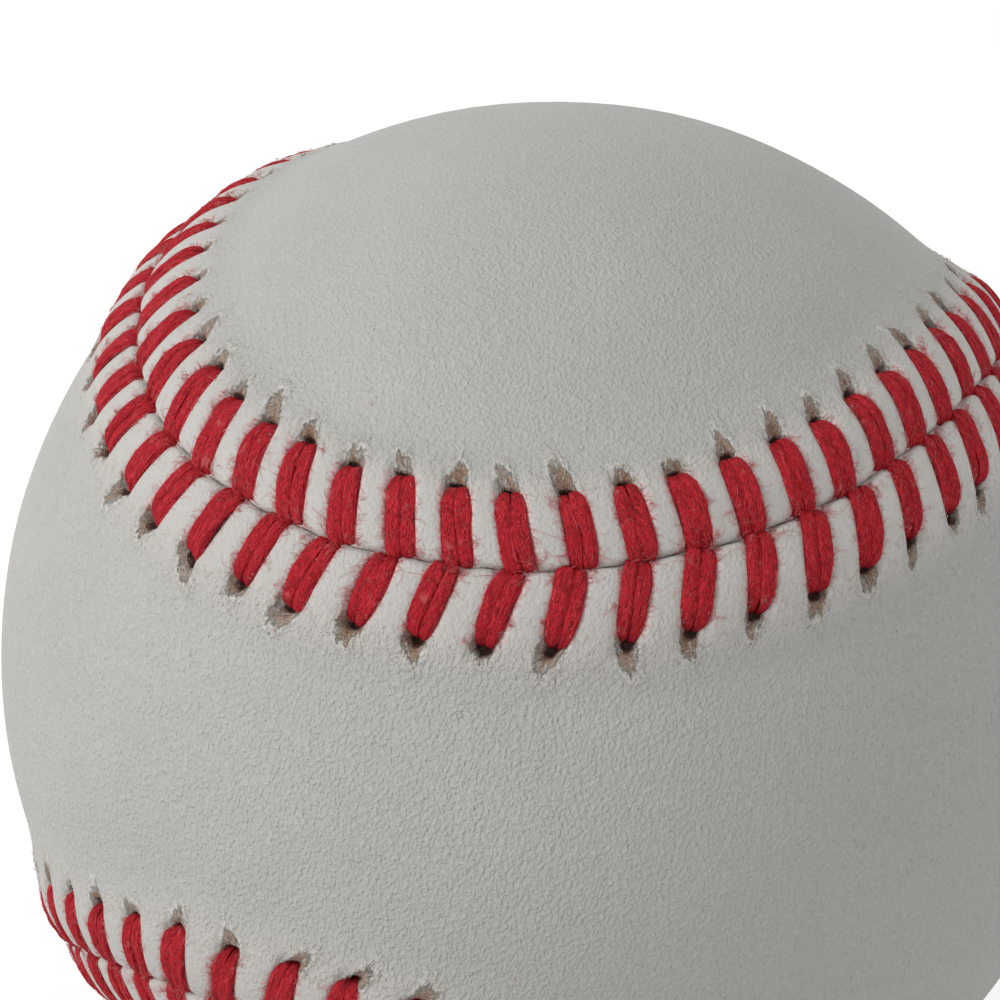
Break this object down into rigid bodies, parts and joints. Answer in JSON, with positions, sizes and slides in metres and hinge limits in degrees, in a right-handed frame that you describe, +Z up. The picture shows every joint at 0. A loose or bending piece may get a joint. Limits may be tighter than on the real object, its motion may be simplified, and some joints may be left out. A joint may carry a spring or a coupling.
{
  "type": "baseball",
  "caption": "Stitched leather baseball over a cork and rubber pill wound with yarn, for throwing, pitching and batting.",
  "frame": {"origin": "centre of the ball", "axes": "+Z up; the narrow neck of the front panel faces -Y and the neck of the back panel faces +Y; the front panel's lobes wrap round -X and +X, the back panel's over +Z and under -Z"},
  "size_m": [0.074, 0.074, 0.074],
  "materials": {
    "cork_rubber": "pressed cork granules in rubber",
    "black_rubber": "moulded, matt",
    "red_rubber": "moulded, matt",
    "grey_wool": "tightly wound wool yarn",
    "white_wool": "tightly wound wool yarn",
    "finishing_yarn": "fine tightly wound yarn",
    "cement": "thin dried rubber cement",
    "cover_leather": "off-white, fine pebbled grain, low sheen",
    "red_thread": "waxed red yarn with fine fuzz"
  },
  "bodies": {
    "root": {"centre": "cork_rubber", "inner_shell_lower": "black_rubber", "inner_shell_upper": "black_rubber", "shell_washer": "red_rubber", "outer_shell_left": "red_rubber", "outer_shell_right": "red_rubber", "first_winding": "grey_wool", "second_winding": "white_wool", "third_winding": "grey_wool", "fourth_winding": "finishing_yarn", "cement_coat": "cement", "cover_front": "cover_leather", "cover_back": "cover_leather", "stitches_front": "red_thread", "stitches_back": "red_thread"}
  },
  "joints": []
}
